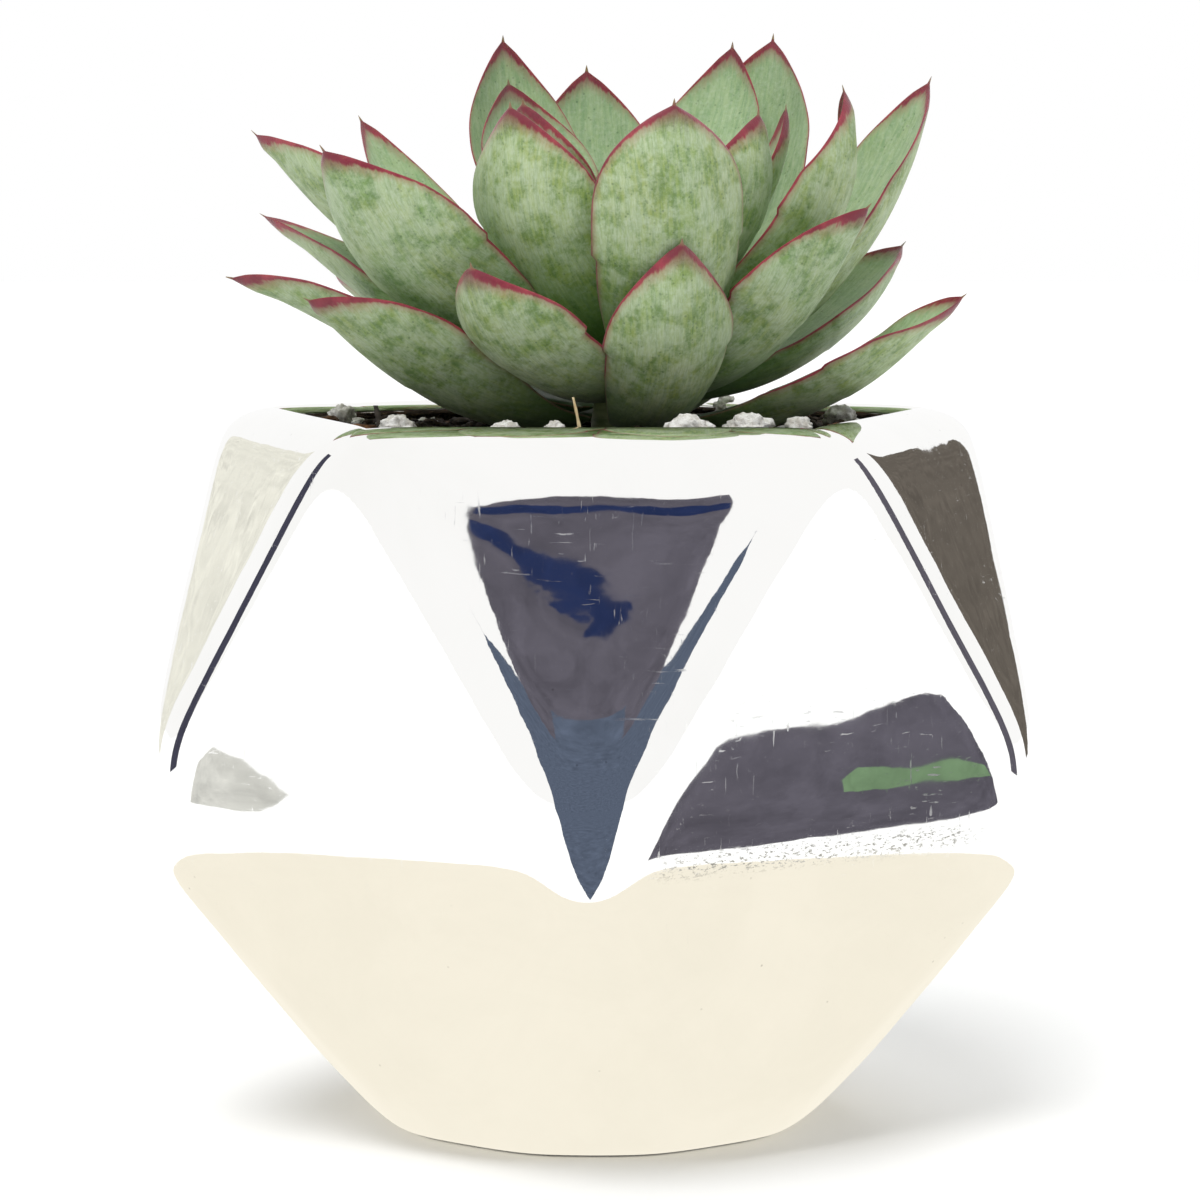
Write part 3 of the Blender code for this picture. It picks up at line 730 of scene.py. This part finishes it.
def pot_surface(directions):
    """Distance of the pot's outside from its heart, in each direction."""
    facets = soft_corner(directions, pot_planes() + rim_planes(), POT_SHARPNESS)
    corners = soft_corner(directions, corner_planes(), CORNER_SHARPNESS)
    both = facets ** (CORNER_SHARPNESS / POT_SHARPNESS) + corners
    return both ** (-1 / CORNER_SHARPNESS)


def section_radius(azimuths, height, inset):
    """How far the pot's outside is from its axis at this height, less an inset."""
    radii = []
    for azimuth in azimuths:
        outward = direction(azimuth)
        nearest = 1e9
        for normal, distance in pot_planes()[2:]:
            slope = outward @ normal
            if slope > 1e-6:
                room = distance - SWELL_OUT - inset - (height - POT_HEART) * normal[2]
                nearest = min(nearest, room / slope)
        radii.append(nearest)
    return np.array(radii)


def add_pot():
    """The outside as a grid of directions from the pot's heart, carried over the rim and down
    the inner wall to a hidden floor below the soil's surface."""
    azimuths = np.arange(POT_COLUMNS) * 360 / POT_COLUMNS
    outward = np.array([direction(a) for a in azimuths])
    rim_inside = section_radius(azimuths, RIM_HEIGHT, WALL)
    crest = np.arctan2(RIM_HEIGHT - POT_HEART, rim_inside + 1.2)
    rows = []
    for row in range(POT_ROWS):
        share = (row + 1) / POT_ROWS
        lift = -math.pi / 2 + share * (crest + math.pi / 2)
        directions = outward * np.cos(lift)[:, None] + np.sin(lift)[:, None] * UP
        rows.append(directions * pot_surface(directions)[:, None] + POT_HEART * UP)
    top = rows[-1]
    top_radius = np.linalg.norm(top[:, :2], axis=1)
    bend = np.array([0.25, 0.5, 0.75, 1.0]) * math.pi / 2
    for angle in bend:
        inner = top_radius - 1.2 * math.sin(angle)
        rows.append(outward * inner[:, None] + (top[:, 2] - 1.2 * (1 - math.cos(angle)))[:, None] * UP)
    for height in (70.0, 69.0, 67.5, 65.0, 62.0):
        inner = np.minimum(section_radius(azimuths, height, WALL), rim_inside + (72 - height) * 0.3)
        rows.append(outward * inner[:, None] + height * UP)
    points = np.vstack([[[0, 0, 0.0]], *rows, [[0, 0, 62.0]]])
    wave = np.zeros(len(points))
    for seed, (depth, length) in enumerate(WAVES):
        wave += depth * lumps(points / length, seed + 3)
    outsides = points - POT_HEART * UP
    outsides /= np.linalg.norm(outsides, axis=1, keepdims=True)
    steady = np.clip(points[:, 2] / 4, 0, 1) * np.clip((71.9 - points[:, 2]) / 1.5, 0.2, 1)
    points = points + outsides * (wave * steady)[:, None]
    crease = np.abs(points[:, 2] - BELT_HEIGHT) < 3.2
    turns = np.degrees(np.arctan2(points[:, 0], -points[:, 1]))
    worn = crease * np.clip((turns - 6) / 6, 0, 1) * np.clip((64 - turns) / 8, 0, 1)
    worn = worn * np.clip(1.6 - np.abs(points[:, 2] - BELT_HEIGHT - 0.2) / 0.9, 0, 1)
    faces = tube_faces(len(rows), POT_COLUMNS)
    piece("pot_shell", points, faces, plating_material(), ("pot",),
          {"pot_worn": worn})


# ---- Soil ------------------------------------------------------------------------------


def soil_lift(points):
    """How far the soil's surface stands above or below its level, at each place."""
    places = np.column_stack([points[:, :2], np.zeros(len(points))])
    lift = 0.75 * lumps(places / 9, 11) + 0.55 * lumps(places / 3.2, 12)
    lift += 0.38 * lumps(places / 1.3, 13) + 0.2 * lumps(places / 0.55, 14)
    return lift - 0.2


def add_soil(finish):
    columns, steps = 300, 90
    azimuths = np.arange(columns) * 360 / columns
    edge = section_radius(azimuths, SOIL_HEIGHT, WALL + 0.35)
    outward = np.array([direction(a) for a in azimuths])
    rows = []
    for step in range(1, steps + 1):
        rows.append(outward * (edge * (step / steps) ** 0.8)[:, None] + SOIL_HEIGHT * UP)
    top = np.vstack([[[0, 0, SOIL_HEIGHT]], *rows])
    top[:, 2] += soil_lift(top)
    lower = []
    for height in (66.5, 63.0):
        lower.append(outward * (edge - 0.3)[:, None] + height * UP)
    points = np.vstack([top, *lower, [[0, 0, 63.0]]])
    faces = [face[::-1] for face in tube_faces(steps + len(lower), columns)]
    piece("potting_soil", points, faces, finish, ("soil",))


def grain_mesh(size, place, turn, seed, detail, roughness, kind):
    """A lump: a ball with broken facets, or a ridged flake of bark."""
    bm = bmesh.new()
    bmesh.ops.create_icosphere(bm, subdivisions=detail, radius=0.5)
    points = np.array([vert.co for vert in bm.verts])
    faces = [[vert.index for vert in face.verts] for face in bm.faces]
    bm.free()
    growth = 1 + roughness * lumps(points * 3, seed) + roughness * 0.5 * lumps(points * 8, seed + 1)
    if kind == "bark":
        growth += 0.18 * lumps(points * [2, 12, 12], seed + 2)
    else:
        growth += roughness * 0.3 * lumps(points * 18, seed + 2)
    points = points * growth[:, None] * size
    angle = math.radians(turn)
    turned = points.copy()
    turned[:, 0] = points[:, 0] * math.cos(angle) - points[:, 1] * math.sin(angle)
    turned[:, 1] = points[:, 0] * math.sin(angle) + points[:, 1] * math.cos(angle)
    return turned + place, faces


def add_grains(finishes):
    for seed, (name, (kind, across, depth, size, turn)) in enumerate(GRAINS.items()):
        place = np.array([across, depth, SOIL_HEIGHT + 0.15 + size[2] * 0.42])
        points, faces = grain_mesh(size, place, turn, seed + 20, 4, 0.42, kind)
        piece("grain_" + name, points, faces, finishes[kind], (name,))


def add_crumbs(kind, count, sizes, finish, seed, detail):
    """Many small bits of one kind lying all over the soil, as one piece."""
    random = np.random.default_rng(seed)
    all_points, all_faces, used = [], [], 0
    for number in range(count):
        azimuth = random.uniform(0, 360)
        room = section_radius([azimuth], SOIL_HEIGHT, WALL + 1.2)[0]
        away = room * math.sqrt(random.uniform(0.03, 1))
        size = random.uniform(*sizes)
        flat = random.uniform(0.45, 0.9)
        long = random.uniform(1.6, 3.4) if kind == "bark" else random.uniform(1, 1.4)
        place = direction(azimuth) * away
        level = SOIL_HEIGHT + soil_lift(place[None, :])[0] + size * flat * 0.25
        extent = np.array([size * long, size, size * flat])
        points, faces = grain_mesh(
            extent, place + level * UP, random.uniform(0, 360), number + seed, detail, 0.5, kind)
        all_points.append(points)
        all_faces += [[index + used for index in face] for face in faces]
        used += len(points)
    piece(kind + "_crumbs", np.vstack(all_points), all_faces, finish)


def add_stalk(name, finish):
    """A dry stalk, slightly kinked and tapering."""
    (foot_x, foot_y), length, thickness, lean, way = STALKS[name]
    rings, sides = 24, 12
    lean_way = -direction(way + 90) if name == "twig" else direction(way + 180)
    points = []
    for ring in range(rings):
        share = ring / (rings - 1)
        bend = math.sin(math.radians(lean)) * length * share**1.3
        centre = np.array([foot_x, foot_y, SOIL_HEIGHT + 0.2 + length * share * math.cos(
            math.radians(lean))]) + lean_way * bend
        radius = thickness / 2 * (1 - 0.4 * share) * (1 + 0.12 * math.sin(share * 19))
        for side in range(sides):
            angle = 2 * math.pi * side / sides
            points.append(centre + radius * (math.cos(angle) * direction(90) + math.sin(
                angle) * direction(0)))
    points = np.array(points)
    points = np.vstack([points[:sides].mean(0), points, points[-sides:].mean(0)])
    faces = [face[::-1] for face in tube_faces(rings, sides)]
    piece("dry_" + name, points, faces, finish, (name,))


# ---- Studio ----------------------------------------------------------------------------


def card(name, points, finish):
    """A flat card that only the plating's reflections see."""
    mesh = bpy.data.meshes.new(name)
    mesh.from_pydata((np.asarray(points) * MM).tolist(), [], [list(range(len(points)))])
    mesh.materials.append(finish)
    made = bpy.data.objects.new(name, mesh)
    bpy.context.scene.collection.objects.link(made)
    made.visible_camera = False
    made.visible_diffuse = False
    made.visible_shadow = False
    made.visible_transmission = False


def facet_point(azimuth, hanging, across, height):
    """The point of a facet this far across it and this far above the base."""
    share = (height - BELT_HEIGHT) / (RIM_HEIGHT - BELT_HEIGHT)
    narrow = math.cos(math.pi / SIDES)
    rim = RIM_RADIUS * (narrow if hanging else 1)
    belt = BELT_RADIUS * (1 if hanging else narrow)
    turn = azimuth + POT_TURN
    return direction(turn) * (belt + (rim - belt) * share) + sideways(turn) * across + height * UP


def add_flags():
    camera = np.array(CAMERA_PLACE)
    for name, (azimuth, hanging, distance, colour, outline) in FLAGS.items():
        corners = [facet_point(azimuth, hanging, *place) for place in ((0, 40), (9, 60), (-9, 60))]
        normal, _ = facet_plane(*corners)
        behind = camera - 2 * ((camera - corners[0]) @ normal) * normal
        points = [
            behind + (facet_point(azimuth, hanging, *place) - behind) * distance
            for place in outline
        ]
        card(name, points, glow_material("glow_" + name, FLAG_COLOURS[colour], 0.28))
    for name, (colour, points) in EDGE_FLAGS.items():
        card(name, points, glow_material("glow_" + name, FLAG_COLOURS[colour], 0.28))


def add_floor():
    mesh = bpy.data.meshes.new("floor")
    half = 4.0
    mesh.from_pydata(
        [(-half, -half, 0), (half, -half, 0), (half, half, 0), (-half, half, 0)], [], [(0, 1, 2, 3)])
    mesh.materials.append(floor_material())
    floor = bpy.data.objects.new("floor", mesh)
    bpy.context.scene.collection.objects.link(floor)
    circle = [FLOOR_GLOW * direction(azimuth) + 0.2 * UP for azimuth in range(0, 360, 6)]
    card("floor_glow", circle, glow_material("glow_floor", FLOOR_CREAM, 0.01))


def add_sun(name, azimuth, elevation, strength, width):
    """Soft light from far away, the same all over the floor. The plating doesn't mirror it."""
    data = bpy.data.lights.new(name, "SUN")
    data.energy = strength
    data.angle = math.radians(width)
    light = bpy.data.objects.new(name, data)
    light.rotation_euler = (math.radians(90 - elevation), 0, math.radians(azimuth))
    light.visible_glossy = False
    bpy.context.scene.collection.objects.link(light)


def add_world():
    """A white room: at full strength where it is seen or mirrored, softer as a light."""
    world = bpy.data.worlds.new("studio")
    world.use_nodes = True
    nodes, links = world.node_tree.nodes, world.node_tree.links
    seen = nodes["Background"]
    seen.inputs["Color"].default_value = (1, 1, 1, 1)
    seen.inputs["Strength"].default_value = 1.0
    soft = nodes.new("ShaderNodeBackground")
    soft.inputs["Color"].default_value = (*WORLD_TINT, 1)
    soft.inputs["Strength"].default_value = WORLD_LIGHT
    path = nodes.new("ShaderNodeLightPath")
    choose = nodes.new("ShaderNodeMixShader")
    links.new(path.outputs["Is Diffuse Ray"], choose.inputs[0])
    links.new(seen.outputs[0], choose.inputs[1])
    links.new(soft.outputs[0], choose.inputs[2])
    links.new(choose.outputs[0], nodes["World Output"].inputs["Surface"])
    bpy.context.scene.world = world


def add_studio():
    add_world()
    for sun in SUNS:
        add_sun(*sun)
    data = bpy.data.cameras.new("camera")
    data.lens = CAMERA_LENS
    data.sensor_width = 36
    data.clip_start, data.clip_end = 0.01, 20
    camera = bpy.data.objects.new("camera", data)
    camera.location = Vector(CAMERA_PLACE) * MM
    camera.rotation_euler = (math.radians(90 + CAMERA_PITCH), 0, 0)
    bpy.context.scene.collection.objects.link(camera)
    bpy.context.scene.camera = camera
    bpy.context.scene.view_settings.view_transform = "Standard"


def main():
    add_studio()
    add_floor()
    add_flags()
    add_pot()
    soil = gritty_material("potting_mix", (0.010, 0.007, 0.005), (0.055, 0.034, 0.020), 900, 0.93, 0.5)
    perlite = gritty_material("perlite", (0.52, 0.49, 0.44), (0.86, 0.85, 0.82), 1100, 0.88, 0.22)
    bark = fibre_material("bark", (0.035, 0.015, 0.008), (0.20, 0.095, 0.045), 0.85, (500, 2600, 2600))
    add_soil(soil)
    add_grains({"perlite": perlite, "bark": bark})
    add_crumbs("soil", CRUMBS["soil"], (0.5, 1.7), soil, 5, 2)
    add_crumbs("perlite", CRUMBS["perlite"], (0.5, 1.5), perlite, 6, 3)
    add_crumbs("bark", CRUMBS["bark"], (0.3, 0.9), bark, 7, 3)
    add_stalk("twig", fibre_material("twig", (0.012, 0.010, 0.008), (0.05, 0.04, 0.03), 0.8, (900, 900, 300)))
    add_stalk("straw", fibre_material("straw", (0.42, 0.30, 0.14), (0.75, 0.62, 0.38), 0.5, (1500, 1500, 250)))
    add_stem()
    skin = leaf_material()
    for number, (name, leaf) in enumerate({**LEAVES, **heart_leaves()}.items()):
        add_leaf(name, leaf, number, skin)


main()
